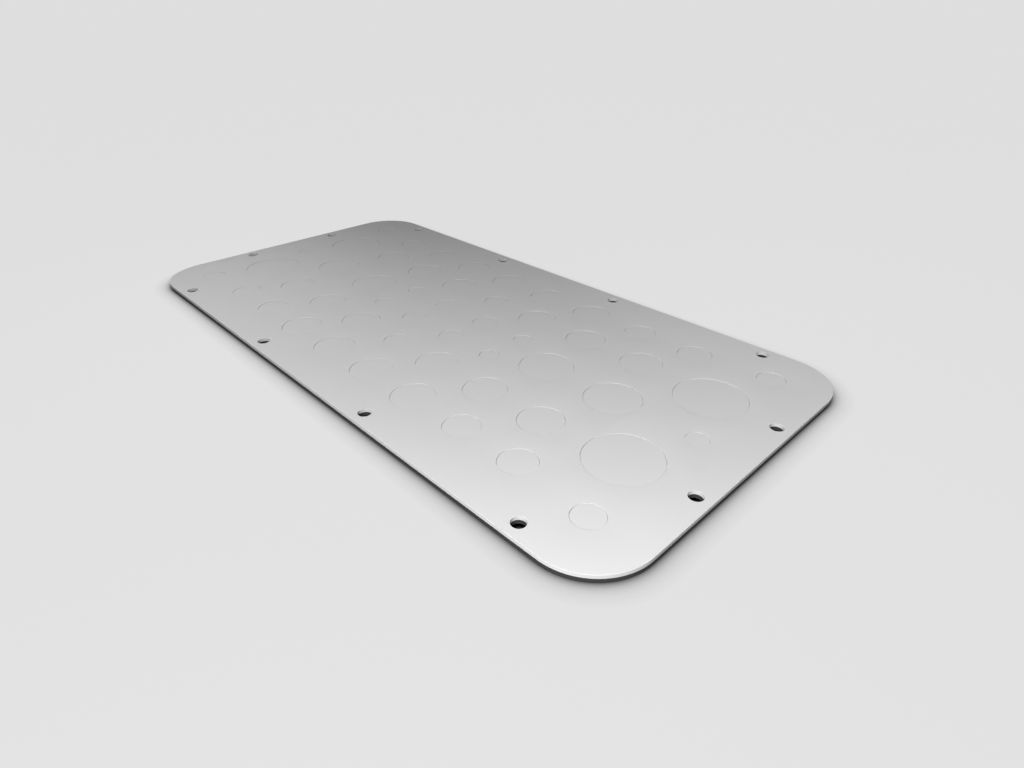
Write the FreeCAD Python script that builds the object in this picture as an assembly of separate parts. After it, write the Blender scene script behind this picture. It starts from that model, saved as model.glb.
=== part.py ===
import FreeCAD, Part
import os
from FreeCAD import Vector

# Cable entry plate: a flat sheet-steel plate with knock-outs for cable glands, over a flat gasket.
# Millimetres. X runs along the plate, Y across it, Z up out of the enclosure wall.
# The origin is the middle of the gasket's underside, the face that meets the enclosure.

# Sheet
PLATE_LENGTH = 437.0
PLATE_WIDTH = 221.5
PLATE_THICKNESS = 2.0
CORNER_RADIUS = 32.0
EDGE_BREAK = 0.2

# Gasket
GASKET_THICKNESS = 2.0
GASKET_BAND = 17.0
GASKET_WINDOW_RADIUS = 15.0

# Fixing holes for M6 screws
FIXING_HOLE_DIAMETER = 7.2
FIXING_EDGE_DISTANCE = 8.0
LONG_SIDE_END_DISTANCE = 49.6
LONG_SIDE_HOLES = 4
SHORT_SIDE_PITCH = 73.8
SHORT_SIDE_HOLES = 2

# Knock-out diameters, named after the metric gland that each one takes
M12_DIAMETER = 12.0
M16_DIAMETER = 16.0
M20_DIAMETER = 20.0
M25_DIAMETER = 25.0
M32_DIAMETER = 32.0
M40_DIAMETER = 40.0

# A knock-out is half sheared out of the sheet, so its slug lies a little below the outer face
SLUG_DROP = 0.15

# Outer row of knock-outs, along both long sides
OUTER_ROW_SIDE_DISTANCE = 36.15
OUTER_ROW_PITCH = 40.0

# Corner knock-outs
CORNER_KNOCKOUT_END_DISTANCE = 32.3
CORNER_KNOCKOUT_SIDE_DISTANCE = 31.25

# Large knock-outs near the short sides
LARGE_KNOCKOUT_END_DISTANCE = 46.0
LARGE_KNOCKOUT_Y = 38.1

# Second row, with one small knock-out on the short centre line
SECOND_ROW_Y = 42.5
SECOND_ROW_X_INNER = 40.0
SECOND_ROW_X_MIDDLE = 82.0
SECOND_ROW_X_OUTER = 124.1

# Small knock-outs in the middle
MIDDLE_ROW_Y = 14.2
MIDDLE_ROW_X_INNER = 19.4
MIDDLE_ROW_X_OUTER = 54.8

# Knock-outs on the long centre line
CENTRE_LINE_X_INNER = 88.1
CENTRE_LINE_X_OUTER = 136.6
CENTRE_LINE_END_DISTANCE = 30.2

# Where the plate lies
HALF_LENGTH = PLATE_LENGTH / 2
HALF_WIDTH = PLATE_WIDTH / 2
PLATE_BOTTOM = GASKET_THICKNESS
PLATE_TOP = PLATE_BOTTOM + PLATE_THICKNESS


def rounded_rectangle(length, width, radius, level):
    """Closed wire of a rectangle with round corners, centred on the origin."""
    x, y = length / 2, width / 2
    diagonal = radius * (1 - 2 ** -0.5)
    corners = [(1, 1), (-1, 1), (-1, -1), (1, -1)]
    arcs = []
    for sx, sy in corners:
        on_side = Vector(sx * x, sy * (y - radius), level)
        middle = Vector(sx * (x - diagonal), sy * (y - diagonal), level)
        on_end = Vector(sx * (x - radius), sy * y, level)
        ends = (on_side, on_end) if sx * sy > 0 else (on_end, on_side)
        arcs.append((ends[0], middle, ends[1]))
    edges = []
    for i, (start, middle, end) in enumerate(arcs):
        edges.append(Part.Arc(start, middle, end).toShape())
        edges.append(Part.LineSegment(end, arcs[(i + 1) % len(arcs)][0]).toShape())
    return Part.Wire(edges)


def slab(outline, thickness):
    """Solid of a flat wire, drawn straight up."""
    return Part.Face(outline).extrude(Vector(0, 0, thickness))


def spread(count, span):
    """Places of a row of equal pitch and given length, centred on zero."""
    return [(i / (count - 1) - 0.5) * span for i in range(count)]


def mirrored(x, y):
    """The places of a point in all four quarters, each one once."""
    return sorted({(sx * x, sy * y) for sx in (1, -1) for sy in (1, -1)})


def fixing_places():
    """Centres of the fixing holes, all at one distance from the edge."""
    x = HALF_LENGTH - FIXING_EDGE_DISTANCE
    y = HALF_WIDTH - FIXING_EDGE_DISTANCE
    along = spread(LONG_SIDE_HOLES, PLATE_LENGTH - 2 * LONG_SIDE_END_DISTANCE)
    across = spread(SHORT_SIDE_HOLES, SHORT_SIDE_PITCH * (SHORT_SIDE_HOLES - 1))
    long_sides = [(px, side * y) for px in along for side in (1, -1)]
    short_sides = [(side * x, py) for py in across for side in (1, -1)]
    return long_sides + short_sides


def knockout_places():
    """Centre and diameter of every knock-out."""
    outer_y = HALF_WIDTH - OUTER_ROW_SIDE_DISTANCE
    corner_x = HALF_LENGTH - CORNER_KNOCKOUT_END_DISTANCE
    corner_y = HALF_WIDTH - CORNER_KNOCKOUT_SIDE_DISTANCE
    large_x = HALF_LENGTH - LARGE_KNOCKOUT_END_DISTANCE
    end_x = HALF_LENGTH - CENTRE_LINE_END_DISTANCE
    quarter = [
        (OUTER_ROW_PITCH * 0.5, outer_y, M25_DIAMETER),
        (OUTER_ROW_PITCH * 1.5, outer_y, M25_DIAMETER),
        (OUTER_ROW_PITCH * 2.5, outer_y, M20_DIAMETER),
        (OUTER_ROW_PITCH * 3.5, outer_y, M20_DIAMETER),
        (corner_x, corner_y, M16_DIAMETER),
        (large_x, LARGE_KNOCKOUT_Y, M40_DIAMETER),
        (0.0, SECOND_ROW_Y, M16_DIAMETER),
        (SECOND_ROW_X_INNER, SECOND_ROW_Y, M25_DIAMETER),
        (SECOND_ROW_X_MIDDLE, SECOND_ROW_Y, M25_DIAMETER),
        (SECOND_ROW_X_OUTER, SECOND_ROW_Y, M25_DIAMETER),
        (MIDDLE_ROW_X_INNER, MIDDLE_ROW_Y, M16_DIAMETER),
        (MIDDLE_ROW_X_OUTER, MIDDLE_ROW_Y, M12_DIAMETER),
        (CENTRE_LINE_X_INNER, 0.0, M32_DIAMETER),
        (CENTRE_LINE_X_OUTER, 0.0, M32_DIAMETER),
        (end_x, 0.0, M12_DIAMETER),
    ]
    return [(px, py, diameter) for x, y, diameter in quarter for px, py in mirrored(x, y)]


def drill(places, diameter, bottom, height):
    """Upright pins to cut round holes with."""
    return [Part.makeCylinder(diameter / 2, height, Vector(x, y, bottom)) for x, y in places]


def slug_recess(x, y, diameter):
    """The shallow round step over a knock-out, whose wall is the line that the punch sheared."""
    return Part.makeCylinder(diameter / 2, SLUG_DROP, Vector(x, y, PLATE_TOP - SLUG_DROP))


def entry_plate():
    """The sheet with its fixing holes and its knock-outs."""
    sheet = slab(rounded_rectangle(PLATE_LENGTH, PLATE_WIDTH, CORNER_RADIUS, PLATE_BOTTOM), PLATE_THICKNESS)
    rim = [edge for edge in sheet.Edges if abs(edge.BoundBox.ZMin - PLATE_TOP) < 1e-6]
    sheet = sheet.makeFillet(EDGE_BREAK, rim)
    holes = drill(fixing_places(), FIXING_HOLE_DIAMETER, PLATE_BOTTOM, PLATE_THICKNESS)
    recesses = [slug_recess(*knockout) for knockout in knockout_places()]
    return sheet.cut(holes + recesses)


def gasket():
    """The flat seal: the plate's outline with one large window and the same fixing holes."""
    body = slab(rounded_rectangle(PLATE_LENGTH, PLATE_WIDTH, CORNER_RADIUS, 0.0), GASKET_THICKNESS)
    window = rounded_rectangle(
        PLATE_LENGTH - 2 * GASKET_BAND, PLATE_WIDTH - 2 * GASKET_BAND, GASKET_WINDOW_RADIUS, 0.0
    )
    cuts = drill(fixing_places(), FIXING_HOLE_DIAMETER, 0.0, GASKET_THICKNESS)
    return body.cut([slab(window, GASKET_THICKNESS)] + cuts)


def write(name, shape):
    """Save one piece as a STEP file named after it."""
    solids = shape.Solids
    if len(solids) != 1 or not shape.isValid():
        raise ValueError(f"{name}: {len(solids)} solids, valid {shape.isValid()}")
    solids[0].exportStep(f"parts/{name}.step")


os.makedirs("parts", exist_ok=True)
write("entry_plate", entry_plate())
write("gasket", gasket())
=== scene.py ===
"""A cable entry plate on its flat gasket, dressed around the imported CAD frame.

Lengths are in metres and in the frame of the CAD: X runs along the plate, Y across it, and
Z points up, away from the enclosure. The gasket's underside lies at Z = 0.
"""

import logging
import math
from collections.abc import Callable, Iterable, Sequence
from dataclasses import dataclass, field
from enum import Enum
from typing import Any

import bpy
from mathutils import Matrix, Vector


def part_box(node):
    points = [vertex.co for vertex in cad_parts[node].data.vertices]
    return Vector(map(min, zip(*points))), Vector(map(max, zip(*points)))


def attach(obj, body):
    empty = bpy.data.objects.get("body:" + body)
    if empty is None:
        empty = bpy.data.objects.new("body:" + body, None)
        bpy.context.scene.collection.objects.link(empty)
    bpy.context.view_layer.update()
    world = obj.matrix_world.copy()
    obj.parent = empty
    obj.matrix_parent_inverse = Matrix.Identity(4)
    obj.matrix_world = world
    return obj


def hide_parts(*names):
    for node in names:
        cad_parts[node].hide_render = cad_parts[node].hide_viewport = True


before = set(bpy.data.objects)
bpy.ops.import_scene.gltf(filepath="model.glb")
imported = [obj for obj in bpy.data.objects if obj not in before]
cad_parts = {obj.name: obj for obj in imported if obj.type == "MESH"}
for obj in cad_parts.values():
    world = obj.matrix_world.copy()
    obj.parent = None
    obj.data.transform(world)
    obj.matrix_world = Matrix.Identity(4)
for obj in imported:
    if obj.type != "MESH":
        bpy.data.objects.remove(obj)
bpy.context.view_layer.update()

log = logging.getLogger("cable_entry_plate")

BODY = "root"
MM = 0.001

# How far a cutter stands out of the sheet, and what counts as one point, level or sharp
CLEARANCE = 1.0 * MM
MERGE_DISTANCE = 0.001 * MM
FACES_UP_OR_DOWN = 0.9
SHARP_ANGLE = math.radians(12.0)

# How finely circles are drawn
CHORD = 0.9 * MM
FEWEST_EDGES = 48.0
MOST_EDGES = 144.0

# The steps of a small rounding in degrees, how far its cutter flares past it, and where
# the middle of a two-step rounding lies, the last two as shares of its size
LIP_ANGLES = (30.0, 60.0, 90.0)
FLARE = 0.5
LIP_BULGE = 0.3

Place = tuple[float, float]
Profile = Sequence[tuple[float, float]]


class Gland(Enum):
    """The cable gland that a knock-out is made for, by the knock-out's diameter."""

    M12 = 12.0 * MM
    M16 = 16.0 * MM
    M20 = 20.0 * MM
    M25 = 25.0 * MM
    M32 = 32.0 * MM
    M40 = 40.0 * MM


class Combine(Enum):
    """What a tool body does to the blank that it meets."""

    CUT = "DIFFERENCE"
    ADD = "UNION"


# Modelling by hand

def clear_selection() -> None:
    """Leaves edit mode and deselects every object."""
    if bpy.context.object is not None and bpy.context.object.mode != "OBJECT":
        bpy.ops.object.mode_set(mode="OBJECT")
    bpy.ops.object.select_all(action="DESELECT")


def segments_round(radius: float) -> int:
    """Chooses how many edges a circle needs to look round.

    Args:
        radius: The circle's radius.

    Returns:
        A multiple of four, between the fewest and the most edges that are used.
    """
    wanted = 2.0 * math.pi * radius / CHORD
    return 4 * round(max(FEWEST_EDGES, min(MOST_EDGES, wanted)) / 4.0)


def mirrored(x: float, y: float) -> list[Place]:
    """Mirrors a place over both centre lines of the plate.

    Args:
        x: Distance from the short centre line.
        y: Distance from the long centre line.

    Returns:
        One, two or four different places.
    """
    return sorted({(sx * x, sy * y) for sx in (1.0, -1.0) for sy in (1.0, -1.0)})


@dataclass
class Blank:
    """A mesh object on the bench, shaped with the edit tools and modifiers."""

    item: bpy.types.Object

    @classmethod
    def block(cls, name: str, low: Vector, high: Vector) -> "Blank":
        """Adds a block between two corners.

        Args:
            name: The object's name.
            low: The lowest corner.
            high: The highest corner.

        Returns:
            The block, with its place in its mesh.
        """
        clear_selection()
        bpy.ops.mesh.primitive_cube_add(size=1.0, location=(low + high) / 2.0)
        bpy.context.object.scale = high - low
        bpy.ops.object.transform_apply(location=True, rotation=True, scale=True)
        bpy.context.object.name = name
        return cls(bpy.context.object)

    @classmethod
    def turned(cls, name: str, profile: Profile, segments: int) -> "Blank":
        """Grows a closed round body from a disc, ring by ring.

        Args:
            name: The object's name.
            profile: Radius and height of each ring. Discs close the first and the last.
            segments: The number of edges around.

        Returns:
            The body, centred on the Z axis.
        """
        clear_selection()
        radius, height = profile[0]
        bpy.ops.mesh.primitive_circle_add(
            vertices=segments, radius=radius, fill_type="NGON", location=(0.0, 0.0, height)
        )
        bpy.ops.object.transform_apply(location=True, rotation=True, scale=True)
        bpy.ops.object.mode_set(mode="EDIT")
        bpy.ops.mesh.select_mode(type="FACE")
        bpy.ops.mesh.select_all(action="SELECT")
        for next_radius, next_height in profile[1:]:
            rise = (0.0, 0.0, next_height - height)
            share = next_radius / radius
            bpy.ops.mesh.extrude_region_move(TRANSFORM_OT_translate={"value": rise})
            bpy.ops.transform.resize(
                value=(share, share, 1.0), center_override=(0.0, 0.0, next_height)
            )
            radius, height = next_radius, next_height
        bpy.ops.mesh.select_all(action="SELECT")
        bpy.ops.mesh.normals_make_consistent(inside=False)
        bpy.ops.object.mode_set(mode="OBJECT")
        bpy.context.object.name = name
        return cls(bpy.context.object)

    def activate(self) -> None:
        """Makes this blank the only selected object and the active one."""
        clear_selection()
        self.item.select_set(True)
        bpy.context.view_layer.objects.active = self.item

    def pick_edges(self, wanted: Callable[[Vector, Vector], bool]) -> None:
        """Goes into edit mode with some edges selected.

        Args:
            wanted: Says from an edge's two ends whether it is selected.
        """
        self._nothing_picked("EDGE")
        points = self.item.data.vertices
        for edge in self.item.data.edges:
            start, end = (points[index].co for index in edge.vertices)
            edge.select = wanted(start, end)
        bpy.ops.object.mode_set(mode="EDIT")

    def pick_faces(self, wanted: Callable[[Vector, Vector], bool]) -> None:
        """Goes into edit mode with some faces selected.

        Args:
            wanted: Says from a face's centre and normal whether it is selected.
        """
        self._nothing_picked("FACE")
        for face in self.item.data.polygons:
            face.select = wanted(face.center, face.normal)
        bpy.ops.object.mode_set(mode="EDIT")

    def _nothing_picked(self, mode: str) -> None:
        """Sets the selection mode and leaves no part of the mesh selected.

        Args:
            mode: VERT, EDGE or FACE.
        """
        self.activate()
        bpy.ops.object.mode_set(mode="EDIT")
        bpy.ops.mesh.select_mode(type=mode)
        bpy.ops.mesh.select_all(action="DESELECT")
        bpy.ops.object.mode_set(mode="OBJECT")

    def round_corners(self, radius: float, segments: int) -> None:
        """Rounds the four upright edges of a block.

        Args:
            radius: The corners' radius.
            segments: The number of edges in each corner.
        """
        self.pick_edges(lambda a, b: abs(a.z - b.z) > MERGE_DISTANCE)
        bpy.ops.mesh.bevel(offset=radius, segments=segments, affect="EDGES", clamp_overlap=False)
        bpy.ops.object.mode_set(mode="OBJECT")

    def soften_rim(self, height: float, width: float, segments: int) -> None:
        """Rounds the edges that lie at one height.

        Args:
            height: The rim's height.
            width: The width that the rounding takes off each face.
            segments: The number of steps across the rounding.
        """
        self.pick_edges(
            lambda a, b: abs(a.z - height) < MERGE_DISTANCE and abs(b.z - height) < MERGE_DISTANCE
        )
        bpy.ops.mesh.bevel(offset=width, segments=segments, affect="EDGES", clamp_overlap=False)
        bpy.ops.object.mode_set(mode="OBJECT")

    def copy_to(self, places: Iterable[Place]) -> list["Blank"]:
        """Copies this blank, each copy with its own mesh.

        Args:
            places: Where each copy's axis goes.

        Returns:
            The copies. This blank stays where it is.
        """
        copies = []
        for x, y in places:
            self.activate()
            bpy.ops.object.duplicate(linked=False)
            bpy.ops.transform.translate(value=(x, y, 0.0))
            bpy.ops.object.transform_apply(location=True, rotation=True, scale=True)
            copies.append(Blank(bpy.context.object))
        return copies

    def discard(self) -> None:
        """Takes this blank off the bench."""
        clear_selection()
        bpy.data.objects.remove(self.item, do_unlink=True)

    def combine(self, tools: Sequence["Blank"], how: Combine) -> None:
        """Cuts tool bodies out of this blank or adds them to it, and uses them up.

        Args:
            tools: The tool bodies, which don't touch each other.
            how: Whether they cut or add.
        """
        clear_selection()
        for tool in tools:
            tool.item.select_set(True)
        bpy.context.view_layer.objects.active = tools[0].item
        bpy.ops.object.join()
        tool_set = tools[0]
        self.activate()
        bpy.ops.object.modifier_add(type="BOOLEAN")
        modifier = self.item.modifiers[-1]
        modifier.operation = how.value
        modifier.solver = "EXACT"
        modifier.object = tool_set.item
        bpy.ops.object.modifier_apply(modifier=modifier.name)
        tool_set.discard()

    def coat(self, material: bpy.types.Material) -> None:
        """Gives this blank one material and no other."""
        self.item.data.materials.clear()
        self.item.data.materials.append(material)

    def finish(self) -> None:
        """Merges doubles, points the faces outwards, splits large faces and sets the shading."""
        self.activate()
        bpy.ops.object.mode_set(mode="EDIT")
        bpy.ops.mesh.select_all(action="SELECT")
        bpy.ops.mesh.remove_doubles(threshold=MERGE_DISTANCE)
        bpy.ops.mesh.normals_make_consistent(inside=False)
        bpy.ops.object.mode_set(mode="OBJECT")
        bpy.ops.object.modifier_add(type="TRIANGULATE")
        modifier = self.item.modifiers[-1]
        modifier.min_vertices = 5
        modifier.ngon_method = "BEAUTY"
        bpy.ops.object.modifier_apply(modifier=modifier.name)
        bpy.ops.object.shade_smooth_by_angle(angle=SHARP_ANGLE)


# Materials

class Number:
    """A number in a node tree. Python's operators on it add Math nodes."""

    def __init__(self, recipe: "Recipe", socket: bpy.types.NodeSocket) -> None:
        """Wraps a socket.

        Args:
            recipe: The node tree that the socket is in.
            socket: An output that carries a number.
        """
        self.recipe = recipe
        self.socket = socket

    def _math(self, operation: str, first: Any, second: Any) -> "Number":
        """Adds one Math node.

        Args:
            operation: The Math node's operation.
            first: Its first value.
            second: Its second value.

        Returns:
            The node's result.
        """
        settings = {"operation": operation}
        node = self.recipe.node("ShaderNodeMath", settings, {0: first, 1: second})
        return Number(self.recipe, node.outputs[0])

    def __add__(self, other: "Number | float") -> "Number":
        """Adds."""
        return self._math("ADD", self, other)

    def __radd__(self, other: float) -> "Number":
        """Adds, with the plain number first."""
        return self._math("ADD", other, self)

    def __sub__(self, other: "Number | float") -> "Number":
        """Subtracts."""
        return self._math("SUBTRACT", self, other)

    def __rsub__(self, other: float) -> "Number":
        """Subtracts from a plain number."""
        return self._math("SUBTRACT", other, self)

    def __mul__(self, other: "Number | float") -> "Number":
        """Multiplies."""
        return self._math("MULTIPLY", self, other)

    def __rmul__(self, other: float) -> "Number":
        """Multiplies, with the plain number first."""
        return self._math("MULTIPLY", other, self)

    def larger(self, other: "Number | float") -> "Number":
        """Takes the larger of two numbers."""
        return self._math("MAXIMUM", self, other)


class Recipe:
    """The node tree of one material or of the world."""

    def __init__(self, tree: bpy.types.NodeTree) -> None:
        """Empties the tree.

        Args:
            tree: The node tree to fill.
        """
        self.tree = tree
        tree.nodes.clear()

    @classmethod
    def of_material(cls, name: str) -> tuple[bpy.types.Material, "Recipe"]:
        """Makes a material with an empty node tree.

        Args:
            name: The material's name.

        Returns:
            The material and the recipe that fills its tree.
        """
        material = bpy.data.materials.new(name)
        material.use_nodes = True
        return material, cls(material.node_tree)

    def show(self, shader: bpy.types.Node, output: str = "ShaderNodeOutputMaterial") -> None:
        """Joins a shader to the tree's output."""
        self.node(output, None, {"Surface": shader.outputs[0]})

    def node(
        self,
        kind: str,
        settings: dict[str, Any] | None = None,
        inputs: dict[Any, Any] | None = None,
    ) -> bpy.types.Node:
        """Adds one node.

        Args:
            kind: The node's type.
            settings: The node's own properties, which are set first.
            inputs: A value, a socket or a Number for each input, by its name or its place.

        Returns:
            The node.
        """
        node = self.tree.nodes.new(kind)
        for name, value in (settings or {}).items():
            setattr(node, name, value)
        for key, value in (inputs or {}).items():
            if isinstance(value, Number):
                value = value.socket
            if isinstance(value, bpy.types.NodeSocket):
                self.tree.links.new(value, node.inputs[key])
            else:
                node.inputs[key].default_value = value
        return node

    def number(self, node: bpy.types.Node, output: str | int) -> Number:
        """Wraps one of a node's outputs for arithmetic."""
        return Number(self, node.outputs[output])

    def noise(self, size: float, detail: float, roughness: float = 0.5) -> Number:
        """Adds a noise in the piece's own coordinates.

        Args:
            size: The size of its lumps.
            detail: How many finer layers it has.
            roughness: How strong the finer layers are.

        Returns:
            The noise, from 0 to 1 around 0.5.
        """
        place = self.node("ShaderNodeTexCoord").outputs["Object"]
        inputs = {"Vector": place, "Scale": 1.0 / size, "Detail": detail, "Roughness": roughness}
        return self.number(self.node("ShaderNodeTexNoise", None, inputs), 0)

    def blend(self, factor: Number, first: Sequence[float], second: Sequence[float]) -> Any:
        """Mixes two colours.

        Args:
            factor: 0 for the first colour, 1 for the second.
            first: Red, green and blue.
            second: Red, green and blue.

        Returns:
            The mixed colour's socket.
        """
        settings = {"data_type": "RGBA"}
        inputs = {0: factor, 6: (*first, 1.0), 7: (*second, 1.0)}
        return self.node("ShaderNodeMix", settings, inputs).outputs[2]

    def bump(self, height: Number, depth: float) -> bpy.types.NodeSocket:
        """Turns a height into a surface normal.

        Args:
            height: The relief, from 0 to 1.
            depth: The distance between its lowest and highest point.

        Returns:
            The normal's socket.
        """
        inputs = {"Height": height, "Distance": depth, "Strength": 1.0}
        return self.node("ShaderNodeBump", None, inputs).outputs[0]

    def seen_directly(self) -> Number:
        """Says 1 for rays from the camera, from gloss and through glass, and 0 for the rest."""
        path = self.node("ShaderNodeLightPath")
        camera = self.number(path, "Is Camera Ray")
        glossy = self.number(path, "Is Glossy Ray")
        return camera.larger(glossy).larger(self.number(path, "Is Transmission Ray"))


@dataclass(frozen=True)
class PowderCoat:
    """A light grey powder coat on sheet steel, smooth, with a very fine orange peel."""

    shade: float = 0.62
    shade_spread: float = 0.012
    sheen: float = 0.20
    roughness: float = 0.65
    roughness_spread: float = 0.06
    cloud_size: float = 45.0 * MM
    cloud_share: float = 0.6
    peel_size: float = 1.1 * MM
    peel_share: float = 0.85
    peel_depth: float = 0.004 * MM
    grain_size: float = 0.16 * MM

    def material(self) -> bpy.types.Material:
        """Makes the finish.

        Returns:
            The material.
        """
        material, recipe = Recipe.of_material("powder_coat_light_grey")
        clouds = recipe.noise(self.cloud_size, detail=2.0)
        grain = recipe.noise(self.grain_size, detail=1.0)
        peel = recipe.noise(self.peel_size, detail=1.5)
        low, high = self.shade - self.shade_spread, self.shade + self.shade_spread
        mottle = clouds * self.cloud_share + grain * (1.0 - self.cloud_share)
        tone = recipe.blend(mottle, (low, low, low), (high, high, high))
        gloss = self.roughness + (clouds - 0.5) * self.roughness_spread
        skin = peel * self.peel_share + grain * (1.0 - self.peel_share)
        relief = recipe.bump(skin, self.peel_depth)
        inputs = {
            "Base Color": tone,
            "Roughness": gloss,
            "Normal": relief,
            "Specular IOR Level": self.sheen,
        }
        recipe.show(recipe.node("ShaderNodeBsdfPrincipled", None, inputs))
        return material


@dataclass(frozen=True)
class CutRubber:
    """A dense black-grey sheet rubber, cut to shape, with fine closed pores."""

    shade: float = 0.036
    shade_spread: float = 0.007
    sheen: float = 0.30
    roughness: float = 0.82
    roughness_spread: float = 0.10
    cloud_size: float = 12.0 * MM
    cloud_share: float = 0.5
    pore_size: float = 0.35 * MM
    pore_depth: float = 0.03 * MM

    def material(self) -> bpy.types.Material:
        """Makes the finish.

        Returns:
            The material.
        """
        material, recipe = Recipe.of_material("cut_rubber_dark_grey")
        clouds = recipe.noise(self.cloud_size, detail=3.0)
        pores = recipe.noise(self.pore_size, detail=2.0, roughness=0.6)
        low, high = self.shade - self.shade_spread, self.shade + self.shade_spread
        mottle = clouds * self.cloud_share + pores * (1.0 - self.cloud_share)
        tone = recipe.blend(mottle, (low, low, low), (high, high, high))
        gloss = self.roughness + (pores - 0.5) * self.roughness_spread
        relief = recipe.bump(pores, self.pore_depth)
        inputs = {
            "Base Color": tone,
            "Roughness": gloss,
            "Normal": relief,
            "Specular IOR Level": self.sheen,
        }
        recipe.show(recipe.node("ShaderNodeBsdfPrincipled", None, inputs))
        return material


# The pieces

@dataclass
class FixingHoles:
    """The round of holes for the screws that hold the plate and squeeze the gasket."""

    radius: float = 3.6 * MM
    edge_distance: float = 8.0 * MM
    long_side_end_distance: float = 49.6 * MM
    short_side_pitch: float = 73.8 * MM

    def places(self, half_length: float, half_width: float) -> list[Place]:
        """Works out where the holes are.

        Args:
            half_length: Half the plate's length.
            half_width: Half the plate's width.

        Returns:
            Eight places on the long sides and four on the short ones.
        """
        outer = half_length - self.long_side_end_distance
        along = half_width - self.edge_distance
        return (
            mirrored(outer, along)
            + mirrored(outer / 3.0, along)
            + mirrored(half_length - self.edge_distance, self.short_side_pitch / 2.0)
        )

    def pins(
        self, name: str, low: float, high: float, lip: float, places: Iterable[Place]
    ) -> list[Blank]:
        """Makes the pins that cut the holes.

        Args:
            name: The first pin's name.
            low: Height of the sheet's underside.
            high: Height of the sheet's upper face.
            lip: How far each hole's rim is rounded off.
            places: Where the pins go.

        Returns:
            One pin for each place.
        """
        upper = rounded_lip(self.radius, high, lip, lip, 1.0)
        lower = rounded_lip(self.radius, low, lip, lip, -1.0)[::-1]
        pin = Blank.turned(name, [*upper, *lower], segments_round(self.radius))
        pins = pin.copy_to(places)
        pin.discard()
        return pins


def rounded_lip(
    radius: float, height: float, width: float, depth: float, way: float
) -> list[tuple[float, float]]:
    """Gives the start of a cutter's profile where it rounds the rim of a round hole.

    Args:
        radius: The hole's radius.
        height: The height of the face that the hole opens in.
        width: How far the rounding reaches out from the hole's wall.
        depth: How far the rounding reaches along the wall.
        way: 1.0 for a hole that opens upwards and -1.0 for one that opens downwards.

    Returns:
        Radius and height of each ring, from outside the sheet to the hole's wall.
    """
    first = math.radians(LIP_ANGLES[0])
    slope = (1.0 - math.cos(first)) / math.sin(first)
    flare = radius + (1.0 + FLARE) * width
    profile = [(flare, height + way * CLEARANCE), (flare, height + way * FLARE * depth * slope)]
    for degrees in LIP_ANGLES:
        angle = math.radians(degrees)
        ring = radius + width * (1.0 - math.sin(angle))
        profile.append((ring, height - way * depth * (1.0 - math.cos(angle))))
    return profile


@dataclass
class KnockOut:
    """One size of knock-out: a slug that is half sheared out of the sheet."""

    gland: Gland
    places: list[Place]
    roll_width: float = 0.24 * MM
    roll_depth: float = 0.06 * MM
    drop: float = 0.27 * MM
    shear_gap: float = 0.14 * MM
    shear_depth: float = 1.2 * MM
    slug_lip: float = 0.03 * MM
    foot_lip: float = 0.12 * MM
    foot_lip_depth: float = 0.10 * MM
    foot_root: float = 0.30 * MM

    def cutters(self, top: float) -> list[Blank]:
        """Makes the bodies that cut the shear line and lower the slug's face.

        Args:
            top: Height of the sheet's upper face.

        Returns:
            One cutter for each place.
        """
        radius = self.gland.value / 2.0
        slug = radius - self.shear_gap
        face = top - self.drop
        profile = rounded_lip(radius, top, self.roll_width, self.roll_depth, 1.0)
        profile += [
            (radius, top - self.shear_depth),
            (slug, top - self.shear_depth),
            (slug, face - self.slug_lip),
            (slug - LIP_BULGE * self.slug_lip, face - LIP_BULGE * self.slug_lip),
            (slug - self.slug_lip, face),
        ]
        return self._copies(f"shear_line_{self.gland.name}", profile)

    def feet(self, bottom: float) -> list[Blank]:
        """Makes the part of each slug that stands proud of the sheet's underside.

        Args:
            bottom: Height of the sheet's underside.

        Returns:
            One foot for each place.
        """
        radius = self.gland.value / 2.0 - self.shear_gap
        low = bottom - self.drop
        profile = [
            (radius, bottom + self.foot_root),
            (radius, low + self.foot_lip_depth),
            (radius - LIP_BULGE * self.foot_lip, low + LIP_BULGE * self.foot_lip_depth),
            (radius - self.foot_lip, low),
        ]
        return self._copies(f"slug_foot_{self.gland.name}", profile)

    def _copies(self, name: str, profile: Profile) -> list[Blank]:
        """Turns one body from a profile and copies it to every place.

        Args:
            name: The body's name.
            profile: Radius and height of each ring.

        Returns:
            One body for each place.
        """
        body = Blank.turned(name, profile, segments_round(self.gland.value / 2.0))
        copies = body.copy_to(self.places)
        body.discard()
        return copies


def knock_outs() -> list[KnockOut]:
    """Lists the knock-outs of the plate.

    Returns:
        One entry for each size, with its places in both halves of the plate.
    """
    quarter = {
        Gland.M12: [(54.8, 14.2), (188.3, 0.0)],
        Gland.M16: [(0.0, 42.5), (19.4, 14.2), (186.2, 79.5)],
        Gland.M20: [(100.0, 74.6), (140.0, 74.6)],
        Gland.M25: [(20.0, 74.6), (60.0, 74.6), (40.0, 42.5), (82.0, 42.5), (124.1, 42.5)],
        Gland.M32: [(88.1, 0.0), (136.6, 0.0)],
        Gland.M40: [(172.5, 38.1)],
    }
    return [
        KnockOut(gland, [place for x, y in spots for place in mirrored(x * MM, y * MM)])
        for gland, spots in quarter.items()
    ]


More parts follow.
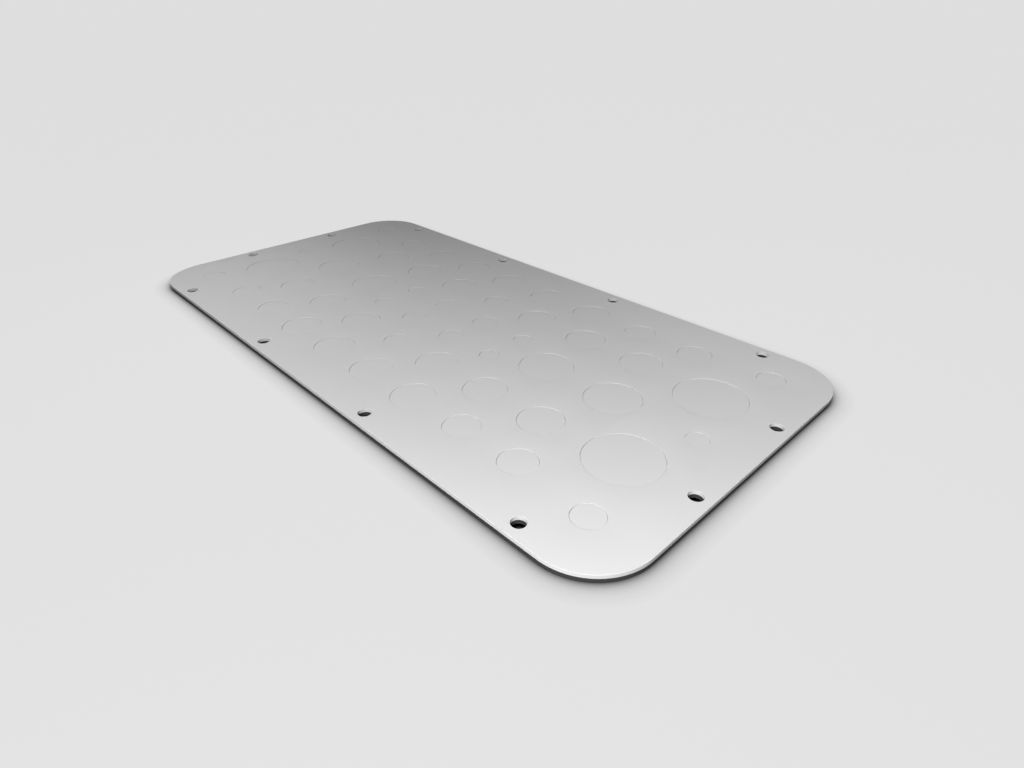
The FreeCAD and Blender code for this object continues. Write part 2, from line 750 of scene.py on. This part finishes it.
@dataclass
class EntryPlate:
    """The coated steel plate, with its knock-outs and fixing holes."""

    low: Vector
    high: Vector
    finish: PowderCoat
    holes: FixingHoles
    knock_outs: list[KnockOut] = field(default_factory=knock_outs)
    corner_radius: float = 32.0 * MM
    corner_segments: int = 48
    edge_break: float = 0.2 * MM
    under_edge: float = 0.06 * MM
    hole_lip: float = 0.12 * MM

    def build(self) -> bpy.types.Object:
        """Builds and dresses the plate.

        Returns:
            The finished piece.
        """
        plate = Blank.block("entry_plate_coated", self.low, self.high)
        plate.round_corners(self.corner_radius, self.corner_segments)
        plate.soften_rim(self.high.z, self.edge_break, segments=3)
        plate.soften_rim(self.low.z, self.under_edge, segments=1)
        plate.combine(self._tools(), Combine.CUT)
        feet = [foot for knock_out in self.knock_outs for foot in knock_out.feet(self.low.z)]
        plate.combine(feet, Combine.ADD)
        plate.finish()
        plate.coat(self.finish.material())
        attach(plate.item, BODY)
        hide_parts("entry_plate")
        return plate.item

    def _tools(self) -> list[Blank]:
        """Makes every body that cuts the plate.

        Returns:
            The cutters of the shear lines and the pins of the fixing holes.
        """
        size = self.high - self.low
        places = self.holes.places(size.x / 2.0, size.y / 2.0)
        tools = self.holes.pins("plate_pin", self.low.z, self.high.z, self.hole_lip, places)
        for knock_out in self.knock_outs:
            tools += knock_out.cutters(self.high.z)
        return tools


@dataclass
class FlatGasket:
    """The rubber gasket, a flat band under the plate's edge."""

    low: Vector
    high: Vector
    finish: CutRubber
    holes: FixingHoles
    corner_radius: float = 32.0 * MM
    corner_segments: int = 48
    band: float = 17.0 * MM
    edge_break: float = 0.10 * MM
    hole_lip: float = 0.08 * MM

    def build(self) -> bpy.types.Object:
        """Builds and dresses the gasket.

        Returns:
            The finished piece.
        """
        gasket = Blank.block("gasket_cut_rubber", self.low, self.high)
        gasket.round_corners(self.corner_radius, self.corner_segments)
        self._open_window(gasket)
        gasket.soften_rim(self.high.z, self.edge_break, segments=2)
        gasket.soften_rim(self.low.z, self.edge_break, segments=2)
        size = self.high - self.low
        places = self.holes.places(size.x / 2.0, size.y / 2.0)
        pins = self.holes.pins("gasket_pin", self.low.z, self.high.z, self.hole_lip, places)
        gasket.combine(pins, Combine.CUT)
        gasket.finish()
        gasket.coat(self.finish.material())
        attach(gasket.item, BODY)
        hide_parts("gasket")
        return gasket.item

    def _open_window(self, gasket: Blank) -> None:
        """Sets the band's width on both faces and joins them through the sheet.

        Args:
            gasket: The rounded sheet, still closed.
        """
        gasket.pick_faces(lambda centre, normal: abs(normal.z) > FACES_UP_OR_DOWN)
        bpy.ops.mesh.inset(thickness=self.band, use_even_offset=True)
        bpy.ops.mesh.bridge_edge_loops()
        bpy.ops.object.mode_set(mode="OBJECT")


# The studio

@dataclass(frozen=True)
class SoftLamp:
    """A square softbox."""

    name: str
    place: tuple[float, float, float]
    aim: tuple[float, float, float]
    size: float
    watts: float

    def hang(self) -> None:
        """Hangs the lamp and turns it to what it lights."""
        clear_selection()
        bpy.ops.object.light_add(type="AREA", location=self.place)
        lamp = bpy.context.object
        lamp.name = self.name
        lamp.data.shape = "SQUARE"
        lamp.data.size = self.size
        lamp.data.energy = self.watts
        direction = Vector(self.aim) - Vector(self.place)
        lamp.rotation_euler = direction.to_track_quat("-Z", "Y").to_euler()


@dataclass(frozen=True)
class PaleFloor:
    """A wide pale floor with a painted shadow of the object on it.

    Most of what the camera sees of it is its own glow. A painted shadow darkens it near the object
    and paints the bottoms of its holes black.
    The lamps light the rest, less and less up to their reach, and little of their light goes back
    up to the object.
    """

    size: float = 24.0
    shift: float = 3.0
    gap: float = 0.05 * MM
    seen_shade: float = 0.80
    bounce_shade: float = 0.05
    glow: float = 0.76
    lit_share: float = 0.04
    # How far from the centre the painted fall-off takes the floor's lit colour to black
    painted_falloff_reach: float = 1.2
    # The painted shadow's reach, and the openness at and below which it is painted black
    painted_shadow_reach: float = 12.0 * MM
    closed: float = 0.45

    def lay(self) -> None:
        """Lays the floor under the object."""
        clear_selection()
        bpy.ops.mesh.primitive_plane_add(size=self.size, location=(self.shift, 0.0, -self.gap))
        floor = bpy.context.object
        floor.name = "floor"
        floor.data.materials.append(self.material())

    def material(self) -> bpy.types.Material:
        """Makes the floor's finish.

        Returns:
            The material.
        """
        material, recipe = Recipe.of_material("pale_floor")
        seen = recipe.seen_directly()
        painted_shadow_factor = self._painted_shadow_mask(recipe)
        # Painted shadow and painted fall-off darken the lit colour that the camera sees
        painted_seen_grey = painted_shadow_factor * self._painted_falloff(recipe) * self.seen_shade
        grey = seen * (painted_seen_grey - self.bounce_shade) + self.bounce_shade
        shade = recipe.blend(grey, (0.0, 0.0, 0.0), (1.0, 1.0, 1.0))
        lit = recipe.node("ShaderNodeBsdfDiffuse", None, {"Color": shade})
        # Painted shadow in the glow: darker near the object, black in its holes
        glow_with_painted_shadow = recipe.blend(painted_shadow_factor, (0.0, 0.0, 0.0), (self.glow,) * 3)
        glow = recipe.node("ShaderNodeEmission", None, {"Color": glow_with_painted_shadow})
        factor = seen * (1.0 - self.lit_share)
        inputs = {0: factor, 1: lit.outputs[0], 2: glow.outputs[0]}
        recipe.show(recipe.node("ShaderNodeMixShader", None, inputs))
        return material

    def _painted_shadow_mask(self, recipe: Recipe) -> Number:
        """Gives the painted shadow's mask, by how open each place is.

        Args:
            recipe: The floor's node tree.

        Returns:
            0 in a narrow corner, painted fully shaded, and up to 1 in the open, unshaded.
        """
        # Ambient occlusion, used as a painted shadow
        open_sky = recipe.node("ShaderNodeAmbientOcclusion", None, {"Distance": self.painted_shadow_reach})
        openness = (recipe.number(open_sky, "AO") - self.closed) * (1.0 / (1.0 - self.closed))
        return openness.larger(0.0)

    def _painted_falloff(self, recipe: Recipe) -> Number:
        """Gives the painted fall-off of the floor's lit colour, by how near each place is.

        Args:
            recipe: The floor's node tree.

        Returns:
            1 under the object's centre, down to 0 at the reach and past it, where the lit colour
            is painted black.
        """
        place = recipe.node("ShaderNodeNewGeometry").outputs["Position"]
        reach = recipe.node("ShaderNodeVectorMath", {"operation": "LENGTH"}, {0: place})
        distance = recipe.number(reach, "Value")
        return (1.0 - distance * (1.0 / self.painted_falloff_reach)).larger(0.0)


@dataclass(frozen=True)
class Studio:
    """Floor, lamps, surroundings and camera."""

    floor: PaleFloor = PaleFloor()
    lamps: tuple[SoftLamp, ...] = (
        SoftLamp("key_lamp", (0.376, -0.489, 0.38), (0.570, -0.243, 0.0), 0.25, 7.8),
        SoftLamp("left_lamp", (-0.157, -0.092, 0.34), (-0.345, -0.525, 0.0), 0.25, 0.85),
        SoftLamp("right_lamp", (0.098, 0.292, 0.36), (0.466, 0.277, 0.0), 0.25, 0.50),
        SoftLamp("back_lamp", (-1.15, 1.15, 0.26), (0.0, 0.0, 0.0), 0.40, 2.5),
    )
    air_level: float = 0.025
    backdrop_level: float = 0.73
    camera_place: tuple[float, float, float] = (0.306396, -0.240683, 0.186874)
    camera_turn: tuple[float, float, float] = (58.9771, -0.0395, 45.7475)
    lens: float = 22.56
    sensor_width: float = 36.0
    near_clip: float = 0.005
    far_clip: float = 200.0

    def set_up(self) -> None:
        """Sets up the whole studio."""
        self.floor.lay()
        for lamp in self.lamps:
            lamp.hang()
        self._surround()
        self._place_camera()
        bpy.context.scene.view_settings.view_transform = "Standard"

    def _surround(self) -> None:
        """Gives the world its light and, where it is seen, the floor's colour."""
        world = bpy.data.worlds.new("studio_air")
        world.use_nodes = True
        bpy.context.scene.world = world
        recipe = Recipe(world.node_tree)
        seen = recipe.seen_directly()
        shade = recipe.blend(seen, (self.air_level,) * 3, (self.backdrop_level,) * 3)
        air = recipe.node("ShaderNodeBackground", None, {"Color": shade})
        recipe.show(air, output="ShaderNodeOutputWorld")

    def _place_camera(self) -> None:
        """Adds the camera at the photograph's angle and makes it the scene's own."""
        clear_selection()
        turn = tuple(math.radians(angle) for angle in self.camera_turn)
        bpy.ops.object.camera_add(location=self.camera_place, rotation=turn)
        camera = bpy.context.object
        camera.name = "photo_camera"
        camera.data.sensor_fit = "HORIZONTAL"
        camera.data.sensor_width = self.sensor_width
        camera.data.lens = self.lens
        camera.data.clip_start = self.near_clip
        camera.data.clip_end = self.far_clip
        bpy.context.scene.camera = camera


def main() -> None:
    """Builds the pieces in order and sets up the studio."""
    logging.basicConfig(level=logging.INFO, format="%(message)s", force=True)
    holes = FixingHoles()
    gasket = FlatGasket(*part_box("gasket"), CutRubber(), holes).build()
    log.info("%s: %d faces", gasket.name, len(gasket.data.polygons))
    plate = EntryPlate(*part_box("entry_plate"), PowderCoat(), holes).build()
    log.info("%s: %d faces", plate.name, len(plate.data.polygons))
    Studio().set_up()


if __name__ == "__main__":
    main()
